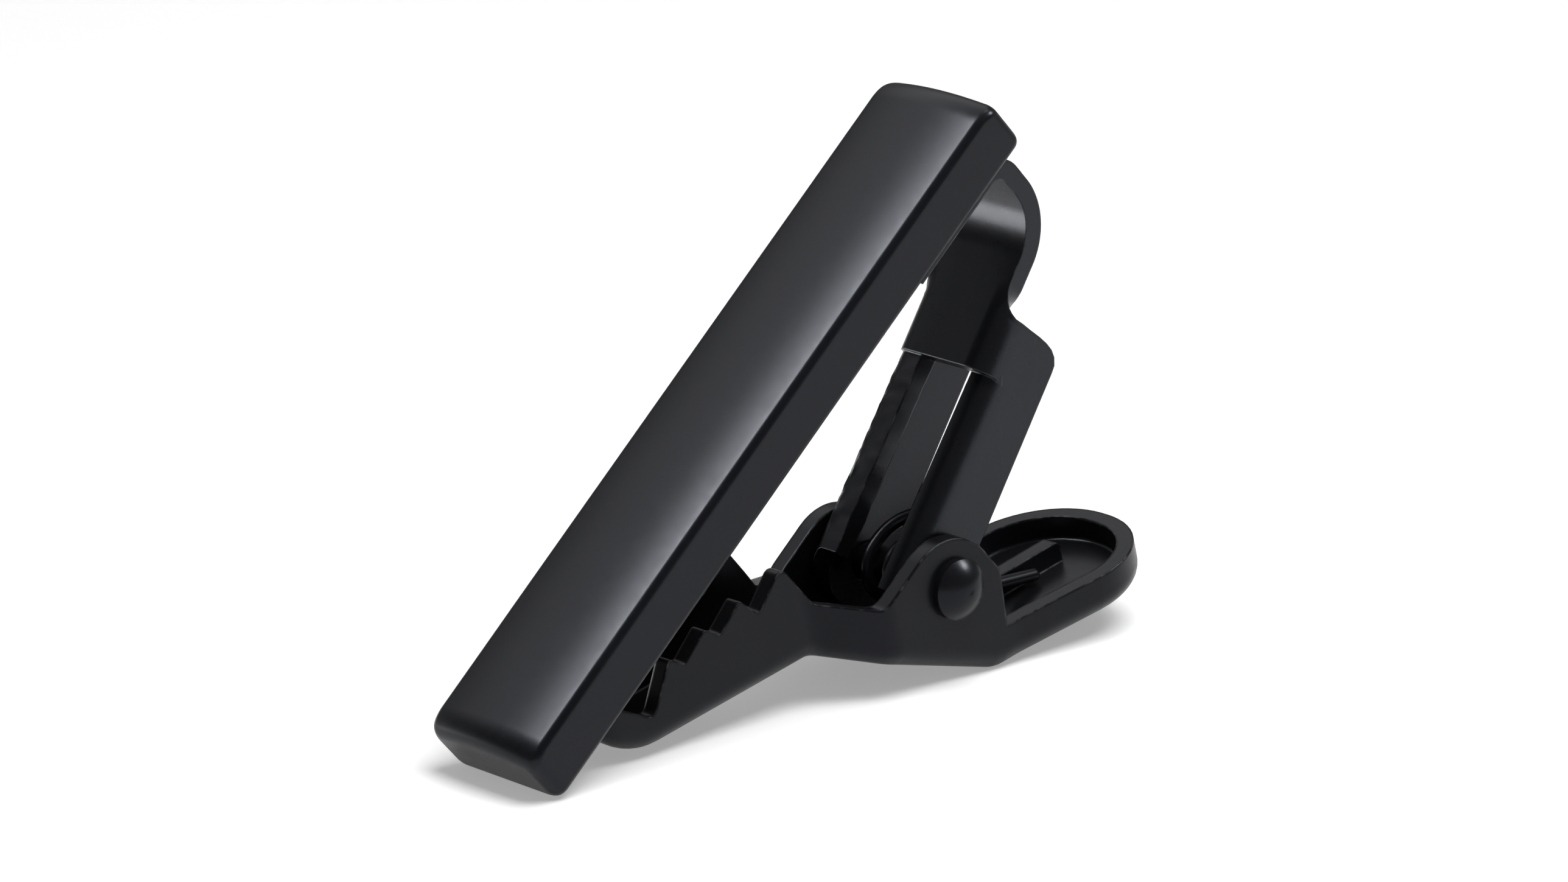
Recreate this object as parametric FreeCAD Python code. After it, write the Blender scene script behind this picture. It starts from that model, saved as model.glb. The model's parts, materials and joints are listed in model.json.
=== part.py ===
"""Tie clip: a domed bar whose back carries a sprung, toothed jaw on a stamped bracket. Lengths in mm."""
import FreeCAD
import Part
import math
import os

# Front bar
bar_length = 30.85
bar_width = 6.0
bar_edge = 2.3
bar_crown = 0.35
bar_round = 0.3
bar_corner = 0.35

# Pivot, measured from the bar's far end and from its back
pivot_inset = 13.98
pivot_drop = 9.67

# Rivet
shank_radius = 0.7
hole_play = 0.05
ear_play = 0.02
head_radius = 1.18
head_height = 0.85
head_edge = 0.28

# Bracket: a foot on the bar, a wall, a wide loop, a web and two wings
bracket_sheet = 0.75
strip_width = 4.2
wall_setback = 0.55
foot_length = 6.0
foot_bend = 1.2
loop_bend = 2.8
loop_drop = 4.13
web_reach = 6.65
shoulder_reach = 4.4
wing_span = 4.9
wing_sheet = 0.8
wing_depth = 2.82
wing_root = 0.05
wing_lead = 0.3
wing_corner = 1.0
wing_bend = 0.55
shoulder_bend = 0.25
eye_radius = 1.64

# Jaw: a channel with a toothed nose, two ears and a dished lever
jaw_sheet = 0.68
side_play = 0.22
nose_width = 3.8
nose_slope = 29.3
middle_slope = 55.5
lever_slope = 28.5
kink_back = 0.77
kink_drop = 4.41
kink_bend = 1.5
middle_length = 8.3
lever_length = 9.15
lever_wall = 1.65
lever_flare = 0.75
lever_flare_start = 1.2
lever_flare_bend = 6.0
lever_round_share = 0.88
jaw_bend = 0.8
flare_start = 7.2
flare_end = 4.85
flare_bend = 1.6
tip_reach = 13.7
tip_gap = 0.08
lip_bend = 3.0
lip_top = 0.9

# Teeth, on a line that leaves the bar's back at a slope
bite_lead = 0.23
bite_slope = 18.5
first_tooth = 3.87
tooth_count = 3
tooth_pitch = 1.88
tooth_depth = 0.85
tooth_rake = 68.0
tooth_round = 0.16
heel_lead = 0.33
heel_depth = 1.2
heel_rake = 80.0
heel_round = 0.35
relief_lead = 1.53
relief_depth = 1.66
relief_round = 0.3

# Ears, measured from the pivot
notch_front = 4.17
notch_top = 4.17
ear_front = 2.77
ear_top = 2.25
ear_back = 1.85
ear_low = 1.33
ear_round = 2.3
ear_bend = 0.4
rim_start = 0.65

# Lug lanced up out of the lever's floor
lug_start = 3.4
lug_length = 3.4
lug_height = 0.85
lug_corner = 0.25
lug_side = 0.17

# Spring
wire_diameter = 0.5
coil_radius = 1.15
coil_turns = 1
coil_far = 0.5
coil_near = 1.1
hook_lead = 0.45
hook_bend = 1.6
lever_lean = 17.5
lever_leg_side = 0.2
leg_play = 0.06
turn_quarters = 4

# Overrun of every cut, and how near two points are the same
overrun = 2.0
match = 0.0001


def turned(start, angle, reach):
    """The spot a reach away from a start, at an angle to the bar."""
    along = start[0] + reach * math.cos(math.radians(angle))
    return (along, start[1] + reach * math.sin(math.radians(angle)))


def point(spot, across=0):
    """The point of a spot (along the bar, behind its front edge), so far across the bar."""
    return FreeCAD.Vector(spot[0], across, -spot[1])


pivot = (bar_length - pivot_inset, bar_edge + pivot_drop)
axis = FreeCAD.Vector(0, 1, 0)
ear_side = wing_span / 2 + side_play + jaw_sheet
coil_top = (pivot[0], pivot[1] - coil_radius)
hook_spot = (coil_top[0] + hook_lead + hook_bend, coil_top[1])

# Spots of the bracket's outer side
wall_along = bar_length - wall_setback
loop_spot = (wall_along, bar_edge + loop_drop)
pivot_reach = math.dist(loop_spot, pivot)
pivot_angle = math.degrees(math.atan2(pivot[1] - loop_spot[1], pivot[0] - loop_spot[0]))
web_angle = pivot_angle + math.degrees(math.asin(eye_radius / pivot_reach))

# Spots of the jaw's outer side
tip_along = pivot[0] - tip_reach
bite_along = tip_along + bite_lead
kink = (pivot[0] - kink_back, pivot[1] + kink_drop)
nose_kink = turned(kink, middle_slope, -middle_length)
lip_behind = nose_kink[1] - (nose_kink[0] - tip_along) * math.tan(math.radians(nose_slope))


def web_spot(reach, out=0):
    """A spot along the web's outer side from the loop's corner, and out from it."""
    return turned(turned(loop_spot, web_angle, reach), web_angle - 90, out)


def lever_spot(reach, rise=0):
    """A spot along the lever's outer side from the kink, and risen from it to the bar's side."""
    return turned(turned(kink, lever_slope, reach), lever_slope - 90, rise)


def bite_spot(reach, drop=0):
    """A spot along the line of the tooth tips, and dropped from it."""
    return turned(turned((bite_along, bar_edge), bite_slope, reach), bite_slope + 90, drop)


def moved_path(path, gap):
    """A path of (spot, bend) corners, moved by a gap to its right, with its bends about the same centres."""
    moved = []
    for i, (spot, bend) in enumerate(path):
        into = max(i, 1)
        out = min(i, len(path) - 2)
        first = math.atan2(path[into][0][1] - path[into - 1][0][1], path[into][0][0] - path[into - 1][0][0])
        last = math.atan2(path[out + 1][0][1] - path[out][0][1], path[out + 1][0][0] - path[out][0][0])
        turn = math.remainder(last - first, 2 * math.pi)
        reach = gap / math.cos(turn / 2)
        moved_bend = bend + math.copysign(gap, gap * turn) if bend > 0 else 0
        moved.append((turned(spot, math.degrees(first + turn / 2) - 90, reach), moved_bend))
    return moved


def rounded_face(corners):
    """The face inside (point, radius) corners, each rounded by an arc."""
    ends = []
    arcs = []
    for i, (here, radius) in enumerate(corners):
        before = (corners[i - 1][0] - here).normalize()
        after = (corners[(i + 1) % len(corners)][0] - here).normalize()
        half = before.getAngle(after) / 2
        reach = radius / math.tan(half)
        ends.append((here + before * reach, here + after * reach))
        if radius > 0:
            middle = here + (before + after).normalize() * (radius / math.sin(half) - radius)
            arcs.append(Part.Arc(ends[-1][0], middle, ends[-1][1]).toShape())
        else:
            arcs.append(None)
    edges = []
    for i, arc in enumerate(arcs):
        if ends[i - 1][1].distanceToPoint(ends[i][0]) > match:
            edges.append(Part.makeLine(ends[i - 1][1], ends[i][0]))
        if arc:
            edges.append(arc)
    return Part.Face(Part.Wire(edges))


def plate(corners, width, middle=0):
    """A plate of (spot, bend) corners, as wide across the bar as given, about a middle."""
    low = middle - width / 2
    return rounded_face([(point(spot, low), bend) for spot, bend in corners]).extrude(axis * width)


def pin(radius, width):
    """A round pin on the pivot's axis, about the bar's middle."""
    return Part.makeCylinder(radius, width, point(pivot, -width / 2), axis)


def make_front_bar():
    """The bar: flat back, sides and ends, eased corners, and a front domed across its width."""
    half = bar_width / 2
    low = FreeCAD.Vector(0, -half, 0)
    high = FreeCAD.Vector(0, half, 0)
    down = FreeCAD.Vector(0, 0, -bar_edge)
    edges = [Part.Arc(low, FreeCAD.Vector(0, 0, bar_crown), high).toShape()]
    edges.append(Part.makeLine(high, high + down))
    edges.append(Part.makeLine(high + down, low + down))
    edges.append(Part.makeLine(low + down, low))
    bar = Part.Face(Part.Wire(edges)).extrude(FreeCAD.Vector(bar_length, 0, 0))
    upright = [edge for edge in bar.Edges if edge.BoundBox.ZLength > bar_crown + match]
    bar = bar.makeFillet(bar_corner, upright)
    front = [edge for edge in bar.Edges if edge.BoundBox.ZMin > -bar_crown]
    return bar.makeFillet(bar_round, front)


def make_strip():
    """The bracket's strip, from its foot on the bar round the loop to the end of its web."""
    foot = ((wall_along - foot_length, bar_edge), 0)
    path = [foot, ((wall_along, bar_edge), foot_bend), (loop_spot, loop_bend), (web_spot(web_reach), 0)]
    return plate(path + moved_path(path, -bracket_sheet)[::-1], strip_width)


def make_wide_web():
    """The web where the wings bend away from it, rounded along both bends."""
    wide = wing_span / 2
    inner = web_spot(shoulder_reach, -bracket_sheet)
    outer = web_spot(shoulder_reach)
    corners = [(point(inner, -wide), wing_bend), (point(inner, wide), wing_bend)]
    corners += [(point(outer, wide), 0), (point(outer, -wide), 0)]
    return rounded_face(corners).extrude(point(web_spot(web_reach)) - point(outer))


def make_wing(side):
    """One wing: a plate that leaves the strip in a hollow bend and ends in a round eye about the pivot."""
    middle = side * (wing_span - wing_sheet) / 2
    eye_reach = math.sqrt(pivot_reach ** 2 - eye_radius ** 2)
    start = shoulder_reach - shoulder_bend
    corners = [(web_spot(start, -wing_root), 0), (web_spot(eye_reach, -wing_lead), 0)]
    corners += [(web_spot(eye_reach, wing_depth), 0), (web_spot(shoulder_reach, wing_depth), wing_corner)]
    corners += [(web_spot(shoulder_reach), shoulder_bend), (web_spot(start), 0)]
    eye = pin(eye_radius + wing_lead, wing_sheet).translated(axis * middle)
    return plate(corners, wing_sheet, middle).fuse(eye)


def make_bracket():
    """The bracket: one bent strip with two wings, holed for the rivet, and a seat for the spring's hook."""
    bracket = make_strip().multiFuse([make_wide_web(), make_wing(-1), make_wing(1)])
    seat = point(hook_spot, (wing_sheet - wing_span) / 2 - hole_play)
    hook_hole = Part.makeCylinder(wire_diameter / 2 + hole_play, wing_sheet, seat, axis)
    return bracket.cut([pin(shank_radius + hole_play, wing_span + overrun), hook_hole]).removeSplitter()


def make_rivet():
    """The rivet: a shank with a low domed head against each ear."""
    dome_height = head_height - head_edge
    dome_radius = (head_radius ** 2 + dome_height ** 2) / (2 * dome_height)
    half = math.asin(head_radius / dome_radius) / 2
    sunk = ear_side + head_height - dome_radius
    centre = point(pivot)
    out = FreeCAD.Vector(1, 0, 0)
    middle = centre + out * (dome_radius * math.sin(half)) + axis * (sunk + dome_radius * math.cos(half))
    seat = centre + axis * ear_side
    rim = seat + out * head_radius
    edges = [Part.makeLine(seat, rim), Part.makeLine(rim, rim + axis * head_edge)]
    edges.append(Part.Arc(rim + axis * head_edge, middle, seat + axis * head_height).toShape())
    edges.append(Part.makeLine(seat + axis * head_height, seat))
    head = Part.Face(Part.Wire(edges)).revolve(centre, axis, 360)
    far_head = head.mirror(FreeCAD.Vector(0, 0, 0), axis)
    return pin(shank_radius, 2 * ear_side).multiFuse([head, far_head]).removeSplitter()


def make_tray(gap):
    """The jaw's outer form, or the hollow a gap inside it: bends rounded, walls left tall."""
    floor = [((tip_along, 0), 0), ((tip_along, lip_behind), lip_bend), (nose_kink, kink_bend)]
    floor += [(kink, kink_bend), (lever_spot(lever_length + overrun), 0)]
    floor = moved_path(floor, gap)
    floor[0] = ((floor[0][0][0], -gap), 0)
    floor.append(((floor[-1][0][0] + tip_reach, -gap), 0))
    profile = plate(floor, 2 * (ear_side + lever_flare) + overrun)
    nose = nose_width / 2
    front = -middle_length - tip_reach
    half = [((front, 0), 0), ((front, nose), 0), ((-flare_start, nose), flare_bend)]
    half += [((-flare_end, ear_side), flare_bend), ((lever_flare_start, ear_side), lever_flare_bend)]
    lever_side = ear_side + lever_flare
    half += [((lever_length, lever_side), lever_side * lever_round_share), ((lever_length, 0), 0)]
    half = moved_path(half, gap)[1:-1]
    half += [((spot[0], -spot[1]), bend) for spot, bend in half[::-1]]
    corners = [(point(lever_spot(spot[0], -overrun), spot[1]), bend) for spot, bend in half]
    rise = point(lever_spot(0, overrun + bar_edge + pivot_drop + kink_drop)) - point(lever_spot(0))
    plan = rounded_face(corners).extrude(rise)
    tray = profile.common(plan)
    bends = []
    for edge in tray.Edges:
        middle = Part.Vertex(edge.valueAt((edge.FirstParameter + edge.LastParameter) / 2))
        apart = max(middle.distToShape(form.Shells[0])[0] for form in (profile, plan))
        if apart < match and edge.BoundBox.ZMin < -match:
            bends.append(edge)
    return tray.makeFillet(jaw_bend - gap, bends)


def make_side():
    """The jaw's side view: lip, teeth, notch, ears and lever rim, cut through its walls."""
    lip = bar_edge + tip_gap
    corners = [((tip_along - overrun, lip), 0), ((tip_along + lip_top, lip), 0)]
    corners.append((bite_spot(first_tooth - relief_lead, relief_depth), relief_round))
    for i in range(tooth_count):
        tip = bite_spot(first_tooth + i * tooth_pitch)
        corners += [(tip, tooth_round), (turned(tip, tooth_rake, tooth_depth), tooth_round)]
    corners[-1] = (turned(tip, heel_rake, heel_depth), tooth_round)
    corners.append((bite_spot(first_tooth + tooth_count * tooth_pitch + heel_lead), heel_round))
    corners.append(((pivot[0] - notch_front, pivot[1] - notch_top), ear_bend))
    corners.append(((pivot[0] - ear_front, pivot[1] - ear_top), ear_bend))
    corners.append(((pivot[0] + ear_back, pivot[1] - ear_top), ear_round))
    corners.append(((pivot[0] + ear_back, pivot[1] + ear_low), ear_bend))
    corners += [(lever_spot(rim_start, lever_wall), 0), (lever_spot(lever_length + overrun, lever_wall), 0)]
    corners.append((lever_spot(lever_length + overrun, -overrun), 0))
    corners.append(((tip_along - overrun, kink[1] + overrun), 0))
    return plate(corners, 2 * (ear_side + lever_flare) + overrun)


def make_lug():
    """The lug on the lever's floor, and the window that it was lanced from."""
    low = jaw_sheet / 2
    high = jaw_sheet + lug_height
    end = lug_start + lug_length
    corners = [(lever_spot(lug_start, low), 0), (lever_spot(end, low), 0)]
    corners += [(lever_spot(end, high), lug_corner), (lever_spot(lug_start, high), lug_corner)]
    lug = plate(corners, jaw_sheet, lug_side + jaw_sheet / 2)
    corners = [(lever_spot(lug_start, -overrun), 0), (lever_spot(end, -overrun), 0)]
    corners += [(lever_spot(end, high), 0), (lever_spot(lug_start, high), 0)]
    return lug, plate(corners, lug_height, lug_side + jaw_sheet + lug_height / 2)


def make_jaw():
    """The jaw: one bent sheet, cut to its side view, with a lug and the rivet's holes."""
    lug, window = make_lug()
    jaw = make_tray(0).cut(make_tray(jaw_sheet)).common(make_side())
    jaw = jaw.cut(window).fuse(lug)
    return jaw.cut(pin(shank_radius + ear_play, 2 * ear_side + overrun)).removeSplitter()


def arc_from(start, heading, end):
    """The arc that leaves a start along a heading and reaches an end."""
    chord = end - start
    along = FreeCAD.Vector(chord).normalize()
    side = (heading - along * heading.dot(along)).normalize()
    bulge = chord.Length / 2 * math.tan(heading.getAngle(along) / 2)
    return Part.Arc(start, start + chord / 2 + side * bulge, end).toShape()


def biarc(start, heading, end, last_heading):
    """Two arcs, smooth where they meet, from a start and heading to an end and heading."""
    gap = end - start
    both = heading + last_heading
    open_share = 2 * (1 - heading.dot(last_heading))
    lead = (math.sqrt(gap.dot(both) ** 2 + open_share * gap.dot(gap)) - gap.dot(both)) / open_share
    joint = (start + end + (heading - last_heading) * lead) / 2
    return [arc_from(start, heading, joint), arc_from(end, last_heading * -1, joint)]


def spring_path():
    """The middle of the spring's wire: a hook in the near wing, the coil and a leg to the lever."""
    lean = math.radians(lever_lean)
    kink_angle = math.atan2(pivot[1] - kink[1], pivot[0] - kink[0])
    floor_drop = math.dist(pivot, kink) * math.sin(math.radians(lever_slope) - kink_angle)
    floor_drop -= jaw_sheet + leg_play + wire_diameter / 2
    lever_leg = (floor_drop - coil_radius * math.cos(lean)) / math.sin(lean)
    lever_heading = point(turned((0, 0), lever_slope + lever_lean, lever_leg), coil_near - lever_leg_side)
    sweep = 180 - lever_slope - lever_lean + 360 * coil_turns
    quarters = math.ceil(sweep / 360 * turn_quarters)
    stations = []
    for i in range(quarters + 1):
        angle = -90 - sweep * i / quarters
        across = coil_far - (coil_far + coil_near) * i / quarters
        heading = point(turned((0, 0), angle - 90, math.radians(sweep) * coil_radius), -coil_far - coil_near)
        stations.append((point(turned(pivot, angle, coil_radius), across), heading.normalize()))
    back = FreeCAD.Vector(-1, 0, 0)
    lead = stations[0][0] - back * hook_lead
    bend = point(hook_spot, coil_far - hook_bend)
    stations[0] = (stations[0][0], back)
    stations[-1] = (stations[-1][0], FreeCAD.Vector(lever_heading).normalize())
    edges = [Part.makeLine(point(hook_spot, (wing_sheet - wing_span) / 2), bend), arc_from(bend, axis, lead)]
    edges.append(Part.makeLine(lead, stations[0][0]))
    for i in range(quarters):
        edges += biarc(*stations[i], *stations[i + 1])
    edges.append(Part.makeLine(stations[-1][0], stations[-1][0] + lever_heading))
    return Part.Wire(Part.__sortEdges__(edges))


def make_spring():
    """The spring: one unbroken round wire along its path."""
    path = spring_path()
    start = path.OrderedVertexes[0].Point
    heading = path.OrderedEdges[0].tangentAt(path.OrderedEdges[0].FirstParameter)
    sweep = Part.BRepOffsetAPI.MakePipeShell(path)
    sweep.add(Part.Wire(Part.makeCircle(wire_diameter / 2, start, heading)))
    sweep.build()
    sweep.makeSolid()
    spots = path.discretize(Distance=wire_diameter / 4)
    apart = math.ceil(math.pi * coil_radius / (wire_diameter / 4))
    least = min(a.distanceToPoint(b) for i, a in enumerate(spots) for b in spots[i + apart:])
    print("spring: least gap to itself", round(least - wire_diameter, 2))
    return sweep.shape()


def resting(shapes):
    """The shapes as they stand on the bar's near back edge and the jaw's kink, their middle at zero."""
    half = math.radians(middle_slope - lever_slope) / 2
    centre = turned(kink, (middle_slope + lever_slope) / 2 - 90, kink_bend / math.cos(half))
    reach = math.dist((0, bar_edge), centre)
    tilt = math.atan2(centre[1] - bar_edge, centre[0]) + math.asin(kink_bend / reach)
    turn = FreeCAD.Placement(FreeCAD.Vector(0, 0, 0), FreeCAD.Rotation(axis, -math.degrees(tilt)))
    tilted = {name: shape.transformed(turn.toMatrix()) for name, shape in shapes.items()}
    box = Part.makeCompound(list(tilted.values())).optimalBoundingBox(False)
    shift = FreeCAD.Vector(-box.Center.x, -box.Center.y, -box.ZMin)
    place = FreeCAD.Placement(shift, FreeCAD.Rotation())
    spot = place.multVec(turn.multVec(point(pivot)))
    print("pivot at", [round(value, 4) for value in spot], "tilt", round(math.degrees(tilt), 4))
    print("size", [round(value, 3) for value in (box.XLength, box.YLength, box.ZLength)])
    return {name: shape.transformed(place.toMatrix()) for name, shape in tilted.items()}


def main():
    """Makes every piece, stands them together and writes them."""
    os.makedirs("parts", exist_ok=True)
    shapes = {"front_bar": make_front_bar(), "hinge_bracket": make_bracket(), "toothed_jaw": make_jaw()}
    shapes["pivot_rivet"] = make_rivet()
    shapes["torsion_spring"] = make_spring()
    for name, shape in resting(shapes).items():
        print(name, "valid", shape.isValid(), "solids", len(shape.Solids), "volume", round(shape.Volume, 2))
        shape.exportStep("parts/" + name + ".step")


main()
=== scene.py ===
"""Dresses a tie clip: a formed bar and bracket, a wound spring, black coats, and a plain studio round it."""
import json
import math

import bmesh
import bpy
from bpy.props import FloatProperty, FloatVectorProperty, IntProperty, PointerProperty
from mathutils import Matrix, Quaternion, Vector, noise


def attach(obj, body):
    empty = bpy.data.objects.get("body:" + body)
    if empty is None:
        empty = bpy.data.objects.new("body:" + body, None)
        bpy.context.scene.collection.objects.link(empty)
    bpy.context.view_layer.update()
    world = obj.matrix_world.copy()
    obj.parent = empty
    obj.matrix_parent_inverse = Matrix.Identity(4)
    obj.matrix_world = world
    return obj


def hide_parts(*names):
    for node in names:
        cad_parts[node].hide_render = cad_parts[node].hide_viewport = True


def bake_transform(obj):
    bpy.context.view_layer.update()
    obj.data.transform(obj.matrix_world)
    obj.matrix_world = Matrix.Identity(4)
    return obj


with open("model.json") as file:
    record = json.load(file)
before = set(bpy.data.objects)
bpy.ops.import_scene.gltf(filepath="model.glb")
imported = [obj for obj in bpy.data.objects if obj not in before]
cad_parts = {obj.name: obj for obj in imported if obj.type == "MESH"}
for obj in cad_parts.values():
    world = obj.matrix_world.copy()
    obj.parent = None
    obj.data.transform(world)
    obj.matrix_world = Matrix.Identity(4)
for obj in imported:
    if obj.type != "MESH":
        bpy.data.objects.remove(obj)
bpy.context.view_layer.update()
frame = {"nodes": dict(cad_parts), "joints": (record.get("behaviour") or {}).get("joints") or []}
hinge = frame["joints"][0]

bl_info = {
    "name": "Tie clip",
    "version": (1, 0, 0),
    "blender": (4, 5, 0),
    "location": "View3D > Sidebar > Tie clip",
    "description": "Bar, bracket, spring, finishes and studio of a sprung tie clip",
    "category": "Object",
}

MM = 0.001
QUARTER = math.pi / 2

# The bar: stations in each rounded end, points over half the dome and round each edge
END_STATIONS = 12
DOME_POINTS = 12
ARC_POINTS = 6

# The bracket's columns, from its middle outwards: window's edge, start of the bend, columns in bend and wing
WINDOW_COLUMN = 3
BEND_COLUMN = 5
BEND_COLUMNS = 8
WING_COLUMNS = 6

# The bracket's rows over the shoulder: mm past it, share of the wings' width, share of their bend
SHOULDER_ROWS = (
    (-1.1, 0, 0.05), (-0.9, 0, 0.2), (-0.7, 0, 0.45), (-0.5, 0, 0.7), (-0.32, 0.02, 0.9),
    (-0.2, 0.06, 0.97), (-0.1, 0.16, 1), (-0.03, 0.34, 1), (0.03, 0.55, 1), (0.1, 0.7, 1),
    (0.22, 0.83, 1), (0.42, 0.93, 1), (0.7, 0.99, 1), (1.0, 1, 1), (1.5, 1, 1))

# The bracket's rows along the wings and round their eyes, and how finely its bends are drawn
WING_ROWS = 32
END_ROWS = 8
STEPS_PER_SHEET = 6
LAP_START = 1 / 3

# The far lip's sheared roughness: the column where it ends, and the noise's steps from row to row and across
ROUGH_END = 11
ROUGH_STEPS = (0.83, 0.91)

# The bracket's holes and eased edges
BORE_SIDES = 48
EASE_SEGMENTS = 3
EASE_ANGLE = math.radians(50)

# The spring's wire: steps to a diameter, passes of smoothing, and eased part of its ends
STEPS_PER_WIRE = 5
SMOOTH_PASSES = 6
END_EASE = 0.3

# The coats: patches to the metre, spread of tone and sheen, what counts as a worn edge with a painted highlight,
# and the tint of gloss
CLOUDS_PER_METRE = 400
SMEARS_PER_METRE = 2200
TONES = (0.8, 1.25)
SHEEN_SPREAD = 0.05
WORN_GLINT_FACING = (0.995, 0.75)
WORN_GLINT_SPECKS = (0.45, 0.7)
GLOSS_TINT = (0.86, 0.89, 1, 1)
BEVEL_SAMPLES = 8

# The studio: the paper's grain, and where the backdrop brightens upwards and towards its middle
PAPER_GRAIN = 900
PAPER_PALE = 1.01
BACKDROP_RISE = (0.38, 0.66)
BACKDROP_EDGE = (0.65, 0.88)
CAMERA_NEAR = 0.01

# The lamps: name, place, width, strength, whether it is for highlights alone, and what it faces
CLIP_MIDDLE = (0, 0, 0.008)
LAMPS = (
    ("top_softbox", (0.03, -0.13, 0.42), 0.3, 6.5, False, CLIP_MIDDLE),
    ("bar_softbox", (-0.141, 0.104, 0.326), 0.1, 29.0, True, CLIP_MIDDLE),
    ("loop_card", (-0.032, 0.042, 0.0015), 0.06, 6.0, True, (-0.032, 0.042, 1.0)),
    ("back_card", (0.2, 0.05, 0.5), 0.2, 3.0, True, CLIP_MIDDLE),
    ("rivet_softbox", (0.25, -0.15, 0.26), 0.09, 40.0, True, CLIP_MIDDLE))


def measure(name, description, millimetres):
    """A length that a user may change, its default in millimetres."""
    return FloatProperty(
        name=name, description=description, unit="LENGTH", precision=6, default=millimetres * MM)


def coat_props(colour, roughness, gloss, grain, depth, edge, wear):
    """The properties of one coat, with this coat's defaults, lengths in millimetres."""
    return {
        "colour": FloatVectorProperty(
            name="Colour", description="The coat's colour", subtype="COLOR", size=3, min=0, max=1,
            default=colour),
        "roughness": FloatProperty(
            name="Roughness", description="How far the coat spreads a highlight", subtype="FACTOR",
            min=0, max=1, default=roughness),
        "gloss": FloatProperty(
            name="Gloss", description="How strongly the coat reflects face on", subtype="FACTOR",
            min=0, max=1, default=gloss),
        "grain": measure("Grain", "Size of the coat's grain", grain),
        "depth": FloatProperty(
            name="Grain depth", description="Depth of the coat's grain", unit="LENGTH", precision=7,
            default=depth * MM),
        "edge": measure("Edge", "How far the coat rounds an edge", edge),
        # How much paler the coat is painted over edges: partly thinned coat, partly a painted highlight standing
        # in for glints
        "wear": FloatProperty(
            name="Wear", description="How pale the coat is where it thins over an edge", subtype="FACTOR",
            min=0, max=1, default=wear),
    }


class BarCoat(bpy.types.PropertyGroup):
    """The bar's satin coat."""
    __annotations__ = coat_props((0.0045, 0.0047, 0.0062), 0.31, 0.24, 0.05, 0.0012, 0.08, 0.02)


class BracketCoat(bpy.types.PropertyGroup):
    """The coat on the stamped bracket."""
    __annotations__ = coat_props((0.0055, 0.0057, 0.0071), 0.29, 0.33, 0.11, 0.0022, 0.09, 0.12)


class JawCoat(bpy.types.PropertyGroup):
    """The coat on the stamped jaw."""
    __annotations__ = coat_props((0.0055, 0.0057, 0.0071), 0.31, 0.17, 0.11, 0.0022, 0.16, 0.1)


class RivetCoat(bpy.types.PropertyGroup):
    """The coat on the rivet."""
    __annotations__ = coat_props((0.0055, 0.0057, 0.0071), 0.3, 0.2, 0.08, 0.002, 0.06, 0.02)


class WireCoat(bpy.types.PropertyGroup):
    """The coat on the spring's wire."""
    __annotations__ = coat_props((0.004, 0.004, 0.005), 0.33, 0.26, 0.06, 0.0015, 0.03, 0.02)


class StandSizes(bpy.types.PropertyGroup):
    """How the clip stands: its pivot, and the bar's tilt."""
    pivot: FloatVectorProperty(
        name="Pivot", description="Middle of the rivet", subtype="XYZ_LENGTH", default=hinge["pos_m"],
        precision=6)
    tilt: FloatProperty(
        name="Tilt", description="How steeply the bar stands", subtype="ANGLE",
        default=math.radians(41.0572))


class SpringSizes(bpy.types.PropertyGroup):
    """The spring's sizes."""
    wire: measure("Wire", "Wire diameter", 0.5)
    coil: measure("Coil radius", "To the middle of the wire", 1.15)
    far: measure("Far turn", "How far across the coil starts", 0.5)
    near: measure("Near turn", "How far across the coil ends", 1.1)
    turns: IntProperty(name="Full turns", description="Whole turns of the coil", min=1, max=4, default=1)
    hook_lead: measure("Hook lead", "Straight wire before the hook", 0.45)
    hook_bend: measure("Hook bend", "Radius of the hook", 1.6)
    hook_end: measure("Hook end", "How far across the hook ends", 2.05)
    leg: measure("Leg", "Length of the leg in the lever", 7.17)
    leg_slope: FloatProperty(
        name="Leg slope", description="The leg's slope to the bar", subtype="ANGLE",
        default=math.radians(46))
    leg_side: measure("Leg side", "How far across the leg ends", 0.2)
    sides: IntProperty(name="Sides", description="Sides of the wire", min=8, max=64, default=24)


class BarSizes(bpy.types.PropertyGroup):
    """The bar's sizes, and its place from the pivot."""
    length: measure("Length", "Length of the bar", 30.85)
    width: measure("Width", "Width of the bar", 6.0)
    thick: measure("Thickness", "Thickness at the bar's edges", 2.3)
    crown: measure("Crown", "How far the front is domed", 0.35)
    inset: measure("Inset", "From the bar's far end to the pivot", 13.98)
    drop: measure("Drop", "From the front's edge to the pivot", 11.97)
    side_round: measure("Side round", "Radius along the front's sides", 0.34)
    end_round: measure("End round", "Length over which the front rolls off at its ends", 1.1)
    end_fall: measure("End fall", "How far the front rolls off at its ends", 0.62)
    corner: measure("Corner", "Radius of the ends' corners", 0.55)
    back_round: measure("Back round", "Radius along the back's edges", 0.3)


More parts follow.
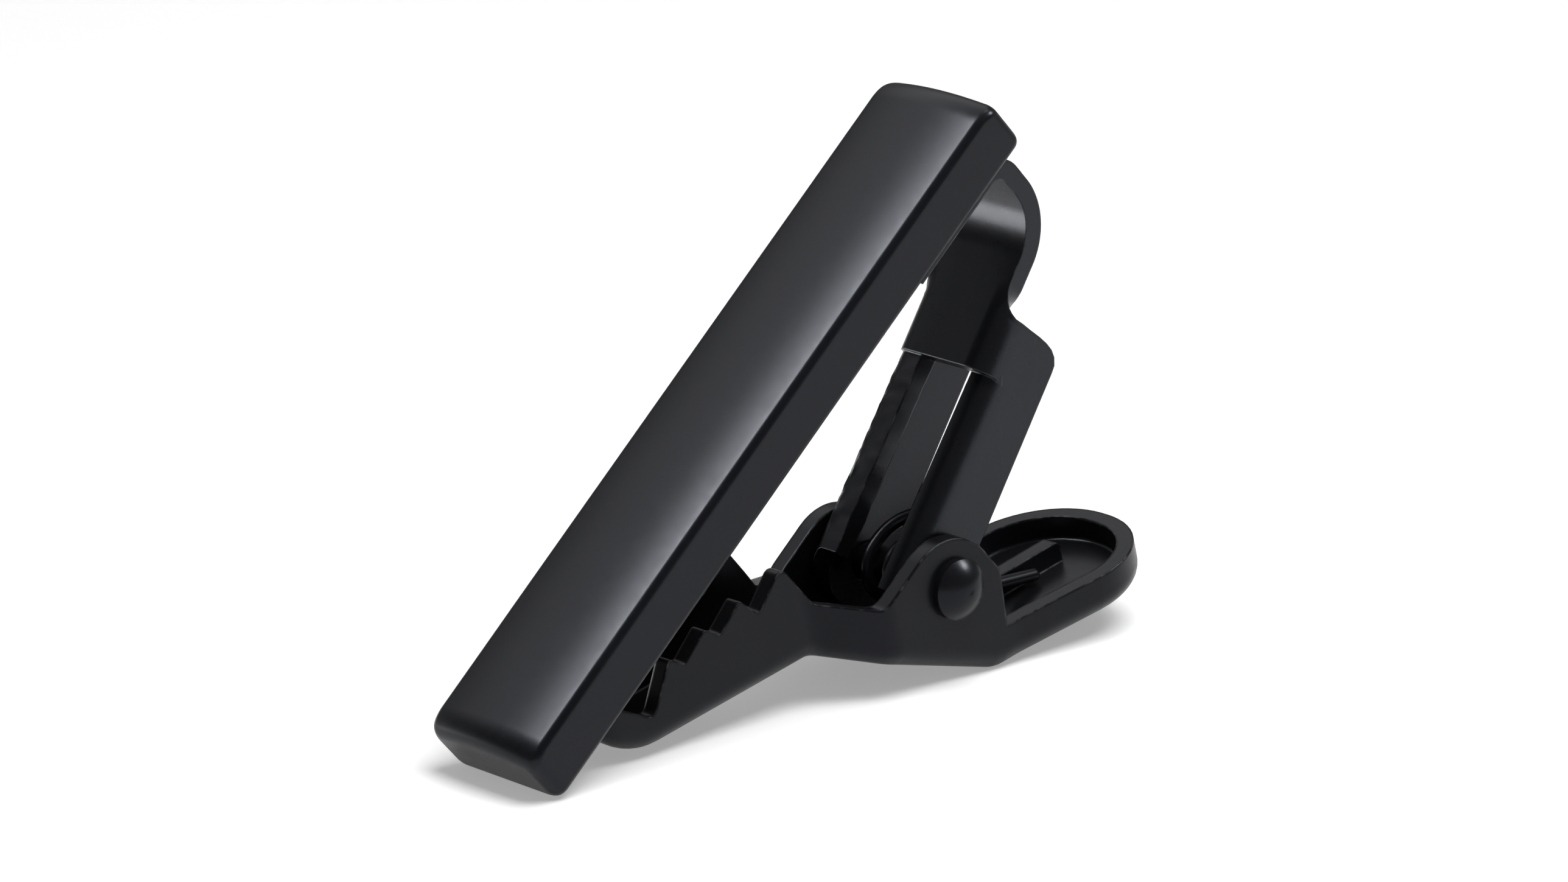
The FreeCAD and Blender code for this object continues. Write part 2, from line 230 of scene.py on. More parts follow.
class BracketSizes(bpy.types.PropertyGroup):
    """The bracket's sizes, in the plane across the pivot."""
    sheet: measure("Sheet", "Thickness of the sheet", 0.76)
    strip: measure("Strip", "Width of the strip", 4.2)
    foot: measure("Foot", "Length of the foot on the bar", 6.0)
    wall: measure("Wall", "From the pivot to the wall's outer side", 13.43)
    rise: measure("Rise", "From the pivot to the bar's back", 9.67)
    drop: measure("Drop", "From the bar's back to the loop's corner", 4.13)
    foot_bend: measure("Foot bend", "Outer radius of the foot's bend", 1.2)
    loop_bend: measure("Loop bend", "Outer radius of the loop", 2.8)
    web: measure("Web", "From the loop's corner to the web's end", 6.65)
    shoulder: measure("Shoulder", "From the loop's corner to the wings", 4.4)
    span: measure("Span", "Width over the wings", 4.9)
    depth: measure("Wing depth", "How deep the near wing is", 2.82)
    far_depth: measure("Far wing depth", "How deep the far wing is", 2.85)
    edge: measure("Edge", "From the middle to the near lip's edge", 1.45)
    far_edge: measure("Far edge", "From the middle to the far lip's edge", 0.98)
    step: measure("Step", "How far the near wing's lip lies below the web", 0.6)
    far_step: measure("Far step", "How far the far wing's lip lies below the web", 0.25)
    lip: measure("Lip bend", "Middle radius of the wings' lips", 0.4)
    lap: measure("Lap", "How far the lips reach up behind the web", 0.36)
    shear: measure("Shear", "How rough the far lip is", 0.07)
    bore: measure("Bore", "Radius of the holes for the rivet", 0.75)
    bend: measure("Wing bend", "Middle radius of the wings' bends", 0.55)
    lead: measure("Wing lead", "How far the eyes pass the web", 0.3)
    eye: measure("Eye", "From the pivot to the web's line", 1.64)
    ease: measure("Ease", "Radius of the eased edges", 0.13)


class StudioSizes(bpy.types.PropertyGroup):
    """Camera, floor and backdrop."""
    camera: FloatVectorProperty(
        name="Camera", description="The camera's place", subtype="XYZ_LENGTH", precision=6,
        default=(-0.185232, -0.210785, 0.094072))
    aim: FloatVectorProperty(
        name="Aim", description="The way that the camera looks", subtype="DIRECTION", precision=5,
        default=(0.63103, 0.72057, -0.28737))
    roll: FloatProperty(
        name="Roll", description="The camera's turn about its aim", subtype="ANGLE",
        default=math.radians(-1.376))
    lens: FloatProperty(name="Lens", description="Focal length in mm", unit="CAMERA", default=181.41)
    floor: FloatProperty(name="Floor", description="Width of the floor", unit="LENGTH", default=6.0)
    paper: FloatVectorProperty(
        name="Paper", description="The floor's colour", subtype="COLOR", size=3, min=0, max=1,
        default=(0.86, 0.86, 0.86))
    lift: FloatProperty(
        name="Lift", description="What is added to the floor as the camera and gloss see it",
        subtype="FACTOR", min=0, max=1, default=0.32)
    backdrop: FloatVectorProperty(
        name="Backdrop", description="Where the white backdrop is", subtype="DIRECTION",
        default=(0.15, 0.9, 0.4))
    glow: FloatProperty(
        name="Glow", description="How bright the raised backdrop looks in reflections", min=0, default=1.75)
    horizon: FloatProperty(
        name="Horizon", description="What gloss sees of the backdrop low down", subtype="FACTOR",
        min=0, max=1, default=0.2)
    room: FloatProperty(
        name="Room", description="What gloss sees away from the backdrop", subtype="FACTOR",
        min=0, max=1, default=0.15)
    sky: FloatProperty(
        name="Sky", description="Strength of the light from all round", min=0, max=2, default=0.2)


class ClipSettings(bpy.types.PropertyGroup):
    """Everything that a user may change."""
    bar_coat: PointerProperty(type=BarCoat)
    bracket_coat: PointerProperty(type=BracketCoat)
    jaw_coat: PointerProperty(type=JawCoat)
    rivet_coat: PointerProperty(type=RivetCoat)
    wire_coat: PointerProperty(type=WireCoat)
    stand: PointerProperty(type=StandSizes)
    bar: PointerProperty(type=BarSizes)
    bracket: PointerProperty(type=BracketSizes)
    spring: PointerProperty(type=SpringSizes)
    studio: PointerProperty(type=StudioSizes)


def add_node(tree, kind, inputs=None, **settings):
    """A new node with its settings, its inputs set to values or linked from sockets."""
    node = tree.nodes.new(kind)
    for name, value in settings.items():
        setattr(node, name, value)
    for name, value in (inputs or {}).items():
        if isinstance(value, bpy.types.NodeSocket):
            tree.links.new(value, node.inputs[name])
        else:
            node.inputs[name].default_value = value
    return node


def spread(tree, value, low, high):
    """A value from 0 to 1, spread from low to high."""
    node = add_node(tree, "ShaderNodeMapRange", {"Value": value, "To Min": low, "To Max": high})
    return node.outputs["Result"]


def ramp(tree, value, limits, low=0.0, high=1.0):
    """A value that goes from low to high between two limits."""
    node = add_node(tree, "ShaderNodeMapRange", {
        "Value": value, "From Min": limits[0], "From Max": limits[1], "To Min": low, "To Max": high})
    return node.outputs["Result"]


def combined(tree, operation, one, other):
    """Two values put together by an operation."""
    return add_node(tree, "ShaderNodeMath", {0: one, 1: other}, operation=operation).outputs["Value"]


def mixed(tree, share, one, other):
    """A colour between two, by a share."""
    mix = add_node(tree, "ShaderNodeMix", {"Factor": share, "A": one, "B": other}, data_type="RGBA")
    return mix.outputs["Result"]


def seen_directly(tree, path):
    """A value of 1 for what the camera sees, also in gloss or through glass, and 0 for light."""
    seen = combined(tree, "MAXIMUM", path.outputs["Is Camera Ray"], path.outputs["Is Glossy Ray"])
    return combined(tree, "MAXIMUM", seen, path.outputs["Is Transmission Ray"])


def blank_material(name):
    """A material with nothing but its output."""
    material = bpy.data.materials.new(name)
    material.use_nodes = True
    material.node_tree.nodes.clear()
    return material, add_node(material.node_tree, "ShaderNodeOutputMaterial")


def coated_metal(name, coat):
    """Black coated metal: fine grain, a slightly uneven sheen, and edges painted paler, partly as thinned coat
    and partly as a painted highlight.
    """
    material, output = blank_material(name)
    tree = material.node_tree
    place = add_node(tree, "ShaderNodeTexCoord").outputs["Object"]
    cloud = add_node(tree, "ShaderNodeTexNoise", {"Vector": place, "Scale": CLOUDS_PER_METRE, "Detail": 3.0})
    smear = add_node(tree, "ShaderNodeTexNoise", {"Vector": place, "Scale": SMEARS_PER_METRE, "Detail": 4.0})
    grain = add_node(tree, "ShaderNodeTexNoise", {"Vector": place, "Scale": 1 / coat.grain, "Detail": 2.0})
    bevel = add_node(tree, "ShaderNodeBevel", {"Radius": coat.edge}, samples=BEVEL_SAMPLES)
    rounded = bevel.outputs["Normal"]
    flat = add_node(tree, "ShaderNodeNewGeometry").outputs["Normal"]
    facing = add_node(tree, "ShaderNodeVectorMath", {0: rounded, 1: flat}, operation="DOT_PRODUCT")
    # Edges painted paler, broken up by specks: partly thinned coat, partly a painted highlight along every
    # rounded edge
    worn_glint_edges = ramp(tree, facing.outputs["Value"], WORN_GLINT_FACING)
    wear_glint_specks = ramp(tree, smear.outputs["Fac"], WORN_GLINT_SPECKS)
    dark, light = ([part * tone for part in coat.colour] + [1] for tone in TONES)
    thin_coat_highlight = [part + coat.wear for part in coat.colour] + [1]
    tone = mixed(tree, cloud.outputs["Fac"], dark, light)
    colour = mixed(tree, combined(tree, "MULTIPLY", worn_glint_edges, wear_glint_specks), tone, thin_coat_highlight)
    sheen = spread(tree, smear.outputs["Fac"], coat.roughness - SHEEN_SPREAD, coat.roughness + SHEEN_SPREAD)
    bump = add_node(tree, "ShaderNodeBump", {
        "Height": grain.outputs["Fac"], "Distance": coat.depth, "Normal": rounded})
    shader = add_node(tree, "ShaderNodeBsdfPrincipled", {
        "Base Color": colour, "Roughness": sheen, "Normal": bump.outputs["Normal"],
        "Specular IOR Level": coat.gloss, "Specular Tint": GLOSS_TINT})
    tree.links.new(shader.outputs["BSDF"], output.inputs["Surface"])
    return material


def paint(node, material):
    """Gives one of the clip's solids its finish."""
    solid = frame["nodes"][node]
    if not solid.material_slots:
        raise RuntimeError(node + " has no place for a material")
    for place in solid.material_slots:
        place.material = material


def new_piece(context, name, mesh):
    """A mesh as an object in the scene."""
    piece = bpy.data.objects.new(name, mesh)
    context.scene.collection.objects.link(piece)
    return piece


def built_mesh(name, build):
    """What was built, as a mesh."""
    mesh = bpy.data.meshes.new(name)
    build.to_mesh(mesh)
    build.free()
    return mesh


def lofted_mesh(name, outlines):
    """A closed smooth skin over outlines of equally many points, with its ends capped."""
    build = bmesh.new()
    rings = [[build.verts.new(spot) for spot in outline] for outline in outlines]
    for one, other in zip(rings, rings[1:]):
        for k in range(len(one)):
            build.faces.new((one[k - 1], one[k], other[k], other[k - 1])).smooth = True
    for ring in (rings[0], rings[-1]):
        build.faces.new(ring)
    bmesh.ops.recalc_face_normals(build, faces=build.faces)
    return built_mesh(name, build)


def bar_ways(stand):
    """The way up along the bar, and the way behind it."""
    along = Vector((math.cos(stand.tilt), 0, math.sin(stand.tilt)))
    behind = Vector((math.sin(stand.tilt), 0, -math.cos(stand.tilt)))
    return along, behind


def clip_spot(stand, ahead, across, back):
    """A spot in the clip, from the pivot: ahead along the bar, across it and behind it."""
    along, behind = bar_ways(stand)
    return Vector(stand.pivot) + along * ahead + Vector((0, across, 0)) + behind * back


def spring_line(sizes, stand):
    """Points along the wire's middle: the hook in the wing, the coil, and the leg in the lever."""
    step = sizes.wire / STEPS_PER_WIRE
    line = []
    bend_side = sizes.far - sizes.hook_bend
    run = bend_side + sizes.hook_end
    hook_ahead = sizes.hook_lead + sizes.hook_bend
    count = math.ceil(run / step)
    for i in range(count):
        line.append(clip_spot(stand, hook_ahead, -sizes.hook_end + run * i / count, -sizes.coil))
    count = math.ceil(sizes.hook_bend * QUARTER / step)
    for i in range(count):
        turn = QUARTER * i / count
        ahead = sizes.hook_lead + sizes.hook_bend * math.cos(turn)
        line.append(clip_spot(stand, ahead, bend_side + sizes.hook_bend * math.sin(turn), -sizes.coil))
    count = math.ceil(sizes.hook_lead / step)
    for i in range(count):
        line.append(clip_spot(stand, sizes.hook_lead * (1 - i / count), sizes.far, -sizes.coil))
    sweep = math.pi - sizes.leg_slope + 2 * math.pi * sizes.turns
    count = math.ceil(sweep * sizes.coil / step)
    for i in range(count):
        turn = sweep * i / count
        across = sizes.far - (sizes.far + sizes.near) * i / count
        line.append(clip_spot(stand, -sizes.coil * math.sin(turn), across, -sizes.coil * math.cos(turn)))
    start = clip_spot(stand, -sizes.coil * math.sin(sweep), -sizes.near, -sizes.coil * math.cos(sweep))
    along, behind = bar_ways(stand)
    reach = along * math.cos(sizes.leg_slope) + behind * math.sin(sizes.leg_slope)
    end = start + reach * sizes.leg + Vector((0, sizes.near - sizes.leg_side, 0))
    count = math.ceil((end - start).length / step)
    line += [start.lerp(end, i / count) for i in range(count + 1)]
    for _ in range(SMOOTH_PASSES):
        middles = [(line[i - 1] + line[i] * 2 + line[i + 1]) / 4 for i in range(1, len(line) - 1)]
        line = [line[0], *middles, line[-1]]
    return line


def wire_outlines(line, radius, sides):
    """Round outlines along a line of points, narrower at the wire's eased ends."""
    ease = radius * END_EASE
    first = (line[1] - line[0]).normalized()
    last = (line[-1] - line[-2]).normalized()
    stations = [(line[0], radius - ease), (line[0] + first * ease, radius)]
    stations += [(spot, radius) for spot in line[2:-2]]
    stations += [(line[-1] - last * ease, radius), (line[-1], radius - ease)]
    heading = first
    side = first.orthogonal().normalized()
    outlines = []
    for i, (spot, wide) in enumerate(stations):
        before = stations[max(i - 1, 0)][0]
        after = stations[min(i + 1, len(stations) - 1)][0]
        ahead = (after - before).normalized()
        side = heading.rotation_difference(ahead) @ side
        heading = ahead
        up = heading.cross(side)
        turns = [2 * math.pi * k / sides for k in range(sides)]
        outlines.append([spot + (side * math.cos(turn) + up * math.sin(turn)) * wide for turn in turns])
    return outlines


def shade_flats(mesh):
    """Smooth normals in which the large faces count most, so that flat sides look flat."""
    sums = [Vector() for vertex in mesh.vertices]
    for face in mesh.polygons:
        for k in face.vertices:
            sums[k] += face.normal * face.area
    mesh.normals_split_custom_set_from_vertices([total.normalized() for total in sums])


def fall(near, radius):
    """How far a surface has fallen at a distance from the edge that it rounds off to."""
    return radius - math.sqrt(radius ** 2 - max(radius - near, 0) ** 2)


def bar_stations(sizes):
    """Reaches along the bar, close together where its ends are rounded."""
    turns = [QUARTER * k / END_STATIONS for k in range(END_STATIONS + 1)]
    ease = [sizes.end_round * (1 - math.cos(turn)) for turn in turns]
    return ease + [sizes.length - reach for reach in reversed(ease)]


def bar_section(sizes, near):
    """The bar's outline (across, back) at a distance from its nearer end."""
    half = sizes.width / 2
    wide = half - fall(near, sizes.corner)
    front = fall(near, sizes.end_round) * sizes.end_fall / sizes.end_round
    thick = sizes.thick - fall(near, sizes.back_round)
    middle = wide - sizes.side_round
    slope = math.atan(2 * sizes.crown * middle / half ** 2)
    reach = middle + sizes.side_round * math.sin(slope)
    side = []
    for k in range(DOME_POINTS + 1):
        across = reach * k / DOME_POINTS
        side.append((across, front - sizes.crown * (1 - (across / half) ** 2)))
    drop = side[-1][1] + sizes.side_round * math.cos(slope)
    for k in range(1, ARC_POINTS + 1):
        turn = slope + (QUARTER - slope) * k / ARC_POINTS
        side.append((middle + sizes.side_round * math.sin(turn), drop - sizes.side_round * math.cos(turn)))
    for k in range(ARC_POINTS + 1):
        turn = QUARTER * k / ARC_POINTS
        across = wide - sizes.back_round * (1 - math.cos(turn))
        side.append((across, thick - sizes.back_round * (1 - math.sin(turn))))
    return [(-across, back) for across, back in reversed(side[1:])] + side


def bent_line(corners, step):
    """Spots along a line of (spot, radius) corners, each corner but the ends rounded."""
    line = [corners[0][0]]
    for (before, _), (spot, radius), (after, _) in zip(corners, corners[1:], corners[2:]):
        into = (spot - before).normalized()
        turn = into.angle_signed((after - spot).normalized())
        start = spot - into * radius * math.tan(abs(turn) / 2)
        side = Vector((into.y, -into.x)) * math.copysign(1, turn)
        count = math.ceil(radius * abs(turn) / step)
        for k in range(count + 1):
            angle = abs(turn) * k / count
            line.append(start + into * radius * math.sin(angle) + side * radius * (1 - math.cos(angle)))
    return line + [corners[-1][0]]


def wing_section(sizes, reach, bent):
    """How far across and out the sheet's middle is, at a reach along its width, its wings bent so far."""
    flat = (sizes.span - sizes.sheet) / 2 - sizes.bend
    arc = sizes.bend * QUARTER
    angle = bent * QUARTER
    if reach <= flat or angle == 0:
        return reach, 0
    round_reach = min(reach - flat, arc)
    rest = reach - flat - round_reach
    across = flat + arc / angle * math.sin(angle * round_reach / arc) + rest * math.cos(angle)
    out = arc / angle * (1 - math.cos(angle * round_reach / arc)) + rest * math.sin(angle)
    return across, out


def bracket_rows(sizes, depth, step, edge):
    """Rows of (spot, across) over half of the bracket's sheet, foot to eyes, and the number of the web's end."""
    half = sizes.sheet / 2
    corner = Vector((sizes.wall, sizes.drop - sizes.rise))
    turn = math.atan2(-corner.y, -corner.x) + math.asin(sizes.eye / corner.length)
    way = Vector((math.cos(turn), math.sin(turn)))
    out_way = Vector((math.sin(turn), -math.cos(turn)))
    middle = corner - out_way * half
    loop = middle + way * ((sizes.wall - half - middle.x) / way.x)
    start = middle + way * (sizes.shoulder + (2 * SHOULDER_ROWS[0][0] - SHOULDER_ROWS[1][0]) * MM)
    line = bent_line([
        (Vector((sizes.wall - sizes.foot, half - sizes.rise)), 0),
        (Vector((sizes.wall - half, half - sizes.rise)), sizes.foot_bend - half),
        (loop, sizes.loop_bend - half), (start, 0)], sizes.sheet / STEPS_PER_SHEET)
    flat = (sizes.span - sizes.sheet) / 2 - sizes.bend
    bent_width = flat + sizes.bend * QUARTER
    whole = bent_width + depth + half - sizes.bend
    widths = [edge * k / WINDOW_COLUMN for k in range(WINDOW_COLUMN + 1)] + [(edge + flat) / 2, flat]
    widths += [flat + (bent_width - flat) * k / BEND_COLUMNS for k in range(1, BEND_COLUMNS + 1)]
    widths += [bent_width + (whole - bent_width) * k / WING_COLUMNS for k in range(1, WING_COLUMNS + 1)]
    eye_reach = math.sqrt(corner.length ** 2 - sizes.eye ** 2)
    radius = sizes.eye + sizes.lead
    lip_start = flat + sizes.bend - sizes.lip
    rows = []

    def narrowed(wide):
        """The columns' reaches where the sheet is only so wide."""
        return [min(width, flat) + max(width - flat, 0) * (wide - flat) / (whole - flat) for width in widths]

    def bent_row(ahead, reaches, bent):
        """A row of the web or the shoulder, its wings bent so far."""
        sections = [wing_section(sizes, reach, bent) for reach in reaches]
        rows.append([(middle + way * ahead + out_way * out, across) for across, out in sections])

    def wing_row(reach, end=0.0, lap=0.0):
        """A row of the lips and wings, moved on round the eye's end or back behind the web."""
        row = []
        share = (reach - sizes.web) / (eye_reach - sizes.web)
        sunk = step - (sizes.lead / 2) * share
        high = sizes.eye + math.sqrt(max(radius ** 2 - (reach - eye_reach) ** 2, 0))
        deep = max(high, depth) + half
        for k, width in enumerate(widths):
            turned = min(max((k - BEND_COLUMN) / BEND_COLUMNS, 0), 1) * QUARTER
            across = min(width, lip_start) if k <= BEND_COLUMN else lip_start + sizes.lip * math.sin(turned)
            out = sunk + sizes.lip * (1 - math.cos(turned))
            out += (deep - out) * max(k - BEND_COLUMN - BEND_COLUMNS, 0) / WING_COLUMNS
            chord = math.sqrt(max(radius ** 2 - (out - half - sizes.eye) ** 2, half ** 2))
            back = lap if k < BEND_COLUMN + BEND_COLUMNS else 0
            row.append((middle + way * (reach - back + chord * end) + out_way * out, across))
        rows.append(row)

    for spot in line:
        rows.append([(spot, reach) for reach in narrowed(sizes.strip / 2)])
    for lead, share, bent in SHOULDER_ROWS:
        wide = sizes.strip / 2 + (whole - sizes.strip / 2) * share
        bent_row(sizes.shoulder + lead * MM, narrowed(wide), bent)
    web_row = len(rows)
    bent_row(sizes.web, widths, 1)
    begin = sizes.web + sizes.lap * LAP_START
    for k in range(WING_ROWS + 1):
        wing_row(begin + (eye_reach - begin) * k / WING_ROWS, lap=0 if k else sizes.lap)
    for k in range(1, END_ROWS + 1):
        wing_row(eye_reach, math.sin(QUARTER * k / END_ROWS))
    return rows, web_row


class CLIP_OT_front_bar(bpy.types.Operator):
    """Forms the bar with a domed front and softly rounded ends, and gives it its coat"""
    bl_idname = "tie_clip.front_bar"
    bl_label = "Front bar"

    def execute(self, context):
        settings = context.scene.tie_clip
        sizes = settings.bar
        outlines = []
        for reach in bar_stations(sizes):
            section = bar_section(sizes, min(reach, sizes.length - reach))
            ahead = reach - sizes.length + sizes.inset
            outlines.append([
                clip_spot(settings.stand, ahead, across, back - sizes.drop) for across, back in section])
        mesh = lofted_mesh("rounded_bar", outlines)
        shade_flats(mesh)
        mesh.materials.append(coated_metal("bar_satin_coat", settings.bar_coat))
        bar = new_piece(context, "rounded_bar", mesh)
        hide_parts("front_bar")
        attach(bar, "bar")
        return {"FINISHED"}


class CLIP_OT_bracket(bpy.types.Operator):
    """Forms the bracket from bent sheet, with its edges eased, and gives it its coat"""
    bl_idname = "tie_clip.bracket"
    bl_label = "Bracket"

    def execute(self, context):
        settings = context.scene.tie_clip
        mesh = self.formed_mesh(context, settings.bracket, settings.stand)
        # Boring leaves an empty material slot behind
        mesh.materials.clear()
        mesh.materials.append(coated_metal("bracket_black_coat", settings.bracket_coat))
        mesh.polygons.foreach_set("material_index", [0] * len(mesh.polygons))
        bracket = new_piece(context, "formed_bracket", mesh)
        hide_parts("hinge_bracket")
        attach(bracket, "bar")
        return {"FINISHED"}

    def formed_mesh(self, context, sizes, stand):
        """The middle sheet in millimetres, thickened, bored, its edges eased, then brought to metres."""
        blank = new_piece(context, "bracket_middle", self.middle_mesh(sizes, stand))
        drill = new_piece(context, "bracket_drill", self.drill_mesh(sizes, stand))
        thick = blank.modifiers.new("thick", "SOLIDIFY")
        thick.thickness = sizes.sheet / MM
        thick.offset = 0
        thick.use_even_offset = True
        bored = blank.modifiers.new("bored", "BOOLEAN")
        bored.operation = "DIFFERENCE"
        bored.solver = "MANIFOLD"
        bored.object = drill
        eased = blank.modifiers.new("eased", "BEVEL")
        eased.width = sizes.ease / MM
        eased.segments = EASE_SEGMENTS
        eased.limit_method = "ANGLE"
        eased.angle_limit = EASE_ANGLE
        eased.harden_normals = True
        mesh = bpy.data.meshes.new_from_object(blank.evaluated_get(context.evaluated_depsgraph_get()))
        if not mesh.polygons:
            raise RuntimeError("the bracket's sheet came out empty")
        mesh.name = "formed_bracket"
        mesh.transform(Matrix.Scale(MM, 4))
        for spare in (blank, drill):
            bpy.data.meshes.remove(spare.data)
        return mesh

    def middle_mesh(self, sizes, stand):
        """The middle of the bent sheet in millimetres, open where the window is."""
        near_rows, web_row = bracket_rows(sizes, sizes.depth, sizes.step, sizes.edge)
        far_rows, _ = bracket_rows(sizes, sizes.far_depth, sizes.far_step, sizes.far_edge)
        build = bmesh.new()
        last = len(near_rows[0]) - 1
        grid = []
        for i, pair in enumerate(zip(near_rows, far_rows)):
            points = {}
            for side, row in zip((-1, 1), pair):
                for k, (spot, across) in enumerate(row):
                    if side * k in points:
                        continue
                    rough = side == 1 and web_row < i < web_row + WING_ROWS and WINDOW_COLUMN < k < ROUGH_END
                    chance = noise.noise((i * ROUGH_STEPS[0], k * ROUGH_STEPS[1], 0)) if rough else 0
                    place = clip_spot(stand, spot.x, side * across, spot.y + sizes.shear * chance)
                    points[side * k] = build.verts.new(place / MM)
            grid.append(points)
        for i, (one, other) in enumerate(zip(grid, grid[1:])):
            first = BEND_COLUMN + BEND_COLUMNS if i == web_row else WINDOW_COLUMN
            for k in range(-last, last):
                if i < web_row or min(abs(k), abs(k + 1)) >= first:
                    build.faces.new((one[k], one[k + 1], other[k + 1], other[k])).smooth = True
        loose = [vert for vert in build.verts if not vert.link_faces]
        bmesh.ops.delete(build, geom=loose, context="VERTS")
        bmesh.ops.recalc_face_normals(build, faces=build.faces)
        return built_mesh("bracket_middle", build)

    def drill_mesh(self, sizes, stand):
        """A cylinder through both eyes, in millimetres, that bores the rivet's holes."""
        build = bmesh.new()
        turned = Matrix.Translation(Vector(stand.pivot) / MM) @ Matrix.Rotation(QUARTER, 4, "X")
        bmesh.ops.create_cone(
            build, cap_ends=True, segments=BORE_SIDES, radius1=sizes.bore / MM, radius2=sizes.bore / MM,
            depth=2 * sizes.span / MM, matrix=turned)
        return built_mesh("bracket_drill", build)


class CLIP_OT_jaw(bpy.types.Operator):
    """Gives the jaw its coat"""
    bl_idname = "tie_clip.jaw"
    bl_label = "Jaw"

    def execute(self, context):
        paint("toothed_jaw", coated_metal("jaw_black_coat", context.scene.tie_clip.jaw_coat))
        return {"FINISHED"}


class CLIP_OT_rivet(bpy.types.Operator):
    """Gives the rivet its coat"""
    bl_idname = "tie_clip.rivet"
    bl_label = "Rivet"

    def execute(self, context):
        paint("pivot_rivet", coated_metal("rivet_black_coat", context.scene.tie_clip.rivet_coat))
        return {"FINISHED"}


class CLIP_OT_spring(bpy.types.Operator):
    """Winds the spring from round wire, and gives it its coat"""
    bl_idname = "tie_clip.spring"
    bl_label = "Spring"

    def execute(self, context):
        settings = context.scene.tie_clip
        sizes = settings.spring
        line = spring_line(sizes, settings.stand)
        mesh = lofted_mesh("wound_spring", wire_outlines(line, sizes.wire / 2, sizes.sides))
        mesh.materials.append(coated_metal("spring_wire_coat", settings.wire_coat))
        spring = new_piece(context, "wound_spring", mesh)
        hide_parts("torsion_spring")
        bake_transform(spring)
        return {"FINISHED"}


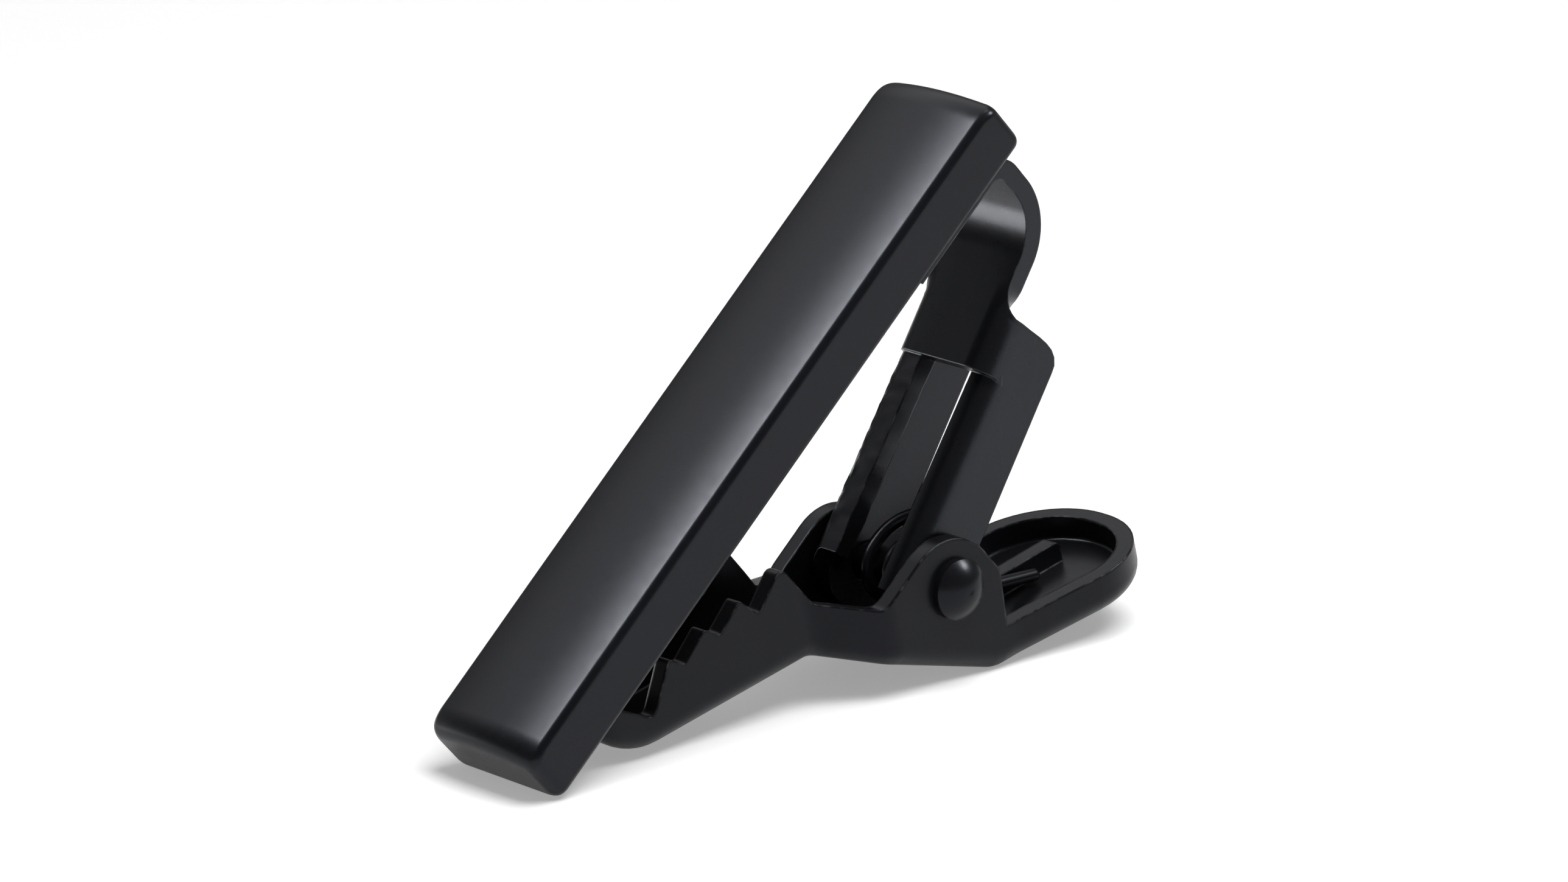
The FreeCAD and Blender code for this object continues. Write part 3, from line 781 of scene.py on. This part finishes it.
class CLIP_OT_studio(bpy.types.Operator):
    """Sets up the floor, the light and the camera"""
    bl_idname = "tie_clip.studio"
    bl_label = "Studio"

    def execute(self, context):
        sizes = context.scene.tie_clip.studio
        self.make_floor(context, sizes)
        self.make_sky(context, sizes)
        for lamp in LAMPS:
            self.place_lamp(context, *lamp)
        self.make_camera(context, sizes)
        return {"FINISHED"}

    def make_floor(self, context, sizes):
        """Pale paper, lifted to white as the camera sees it, that keeps the clip's shadow."""
        half = sizes.floor / 2
        corners = [(-half, -half, 0), (half, -half, 0), (half, half, 0), (-half, half, 0)]
        mesh = bpy.data.meshes.new("floor")
        mesh.from_pydata(corners, [], [(0, 1, 2, 3)])
        material, output = blank_material("paper_floor")
        tree = material.node_tree
        seen = seen_directly(tree, add_node(tree, "ShaderNodeLightPath"))
        grain = add_node(tree, "ShaderNodeTexNoise", {"Scale": PAPER_GRAIN})
        pale = [part * PAPER_PALE for part in sizes.paper] + [1]
        shade = mixed(tree, grain.outputs["Fac"], [*sizes.paper, 1], pale)
        paper = add_node(tree, "ShaderNodeBsdfDiffuse", {"Color": shade})
        glow = add_node(tree, "ShaderNodeEmission", {"Strength": spread(tree, seen, 0, sizes.lift)})
        both = add_node(tree, "ShaderNodeAddShader", {0: paper.outputs["BSDF"], 1: glow.outputs["Emission"]})
        tree.links.new(both.outputs["Shader"], output.inputs["Surface"])
        mesh.materials.append(material)
        new_piece(context, "floor", mesh)

    def make_sky(self, context, sizes):
        """Soft light from all round: white to the camera, and a backdrop in a dim room to gloss."""
        world = bpy.data.worlds.new("studio")
        world.use_nodes = True
        context.scene.world = world
        tree = world.node_tree
        tree.nodes.clear()
        output = add_node(tree, "ShaderNodeOutputWorld")
        path = add_node(tree, "ShaderNodeLightPath")
        seen = seen_directly(tree, path)
        way = add_node(tree, "ShaderNodeTexCoord").outputs["Generated"]
        ahead = add_node(tree, "ShaderNodeVectorMath", {0: way, 1: sizes.backdrop}, operation="DOT_PRODUCT")
        high = add_node(tree, "ShaderNodeSeparateXYZ", {"Vector": way}).outputs["Z"]
        fade = ramp(tree, high, BACKDROP_RISE, sizes.horizon, sizes.glow)
        wall = ramp(tree, ahead.outputs["Value"], BACKDROP_EDGE, sizes.room, fade)
        bright = combined(tree, "MAXIMUM", wall, path.outputs["Is Camera Ray"])
        strength = add_node(tree, "ShaderNodeMix", {
            "Factor": seen, "A": sizes.sky, "B": bright}, data_type="FLOAT")
        sky = add_node(tree, "ShaderNodeBackground", {"Strength": strength.outputs["Result"]})
        tree.links.new(sky.outputs["Background"], output.inputs["Surface"])

    def place_lamp(self, context, name, place, width, strength, gloss, aim):
        """A square lamp, as bright as its strength says, for highlights alone or for all the rest."""
        lamp = bpy.data.lights.new(name, "AREA")
        lamp.shape = "SQUARE"
        lamp.size = width
        lamp.energy = strength * math.pi * width ** 2
        holder = new_piece(context, name, lamp)
        holder.location = place
        holder.rotation_mode = "QUATERNION"
        holder.rotation_quaternion = (Vector(aim) - Vector(place)).to_track_quat("-Z", "Y")
        holder.visible_camera = False
        holder.visible_diffuse = not gloss
        holder.visible_glossy = gloss

    def make_camera(self, context, sizes):
        """The camera, at the photograph's viewing angle, and plain colours."""
        camera = new_piece(context, "camera", bpy.data.cameras.new("camera"))
        camera.data.lens = sizes.lens
        camera.data.sensor_fit = "HORIZONTAL"
        camera.data.clip_start = CAMERA_NEAR
        camera.location = sizes.camera
        camera.rotation_mode = "QUATERNION"
        level = Vector(sizes.aim).to_track_quat("-Z", "Y")
        camera.rotation_quaternion = level @ Quaternion((0, 0, 1), sizes.roll)
        context.scene.camera = camera
        context.scene.view_settings.view_transform = "Standard"


OPERATORS = (
    CLIP_OT_front_bar, CLIP_OT_bracket, CLIP_OT_jaw, CLIP_OT_rivet, CLIP_OT_spring, CLIP_OT_studio)


class CLIP_PT_panel(bpy.types.Panel):
    """Lists what makes the clip"""
    bl_idname = "CLIP_PT_panel"
    bl_label = "Tie clip"
    bl_space_type = "VIEW_3D"
    bl_region_type = "UI"
    bl_category = "Tie clip"

    def draw(self, context):
        for operator in OPERATORS:
            self.layout.operator(operator.bl_idname)


CLASSES = (
    BarCoat, BracketCoat, JawCoat, RivetCoat, WireCoat, StandSizes, SpringSizes, BarSizes, BracketSizes,
    StudioSizes, ClipSettings, *OPERATORS, CLIP_PT_panel)


def register():
    for kind in CLASSES:
        bpy.utils.register_class(kind)
    bpy.types.Scene.tie_clip = PointerProperty(type=ClipSettings)


def unregister():
    del bpy.types.Scene.tie_clip
    for kind in reversed(CLASSES):
        bpy.utils.unregister_class(kind)


def main():
    """Makes the whole scene."""
    register()
    bpy.ops.tie_clip.front_bar()
    bpy.ops.tie_clip.bracket()
    bpy.ops.tie_clip.jaw()
    bpy.ops.tie_clip.rivet()
    bpy.ops.tie_clip.spring()
    bpy.ops.tie_clip.studio()


if __name__ == "__main__":
    main()
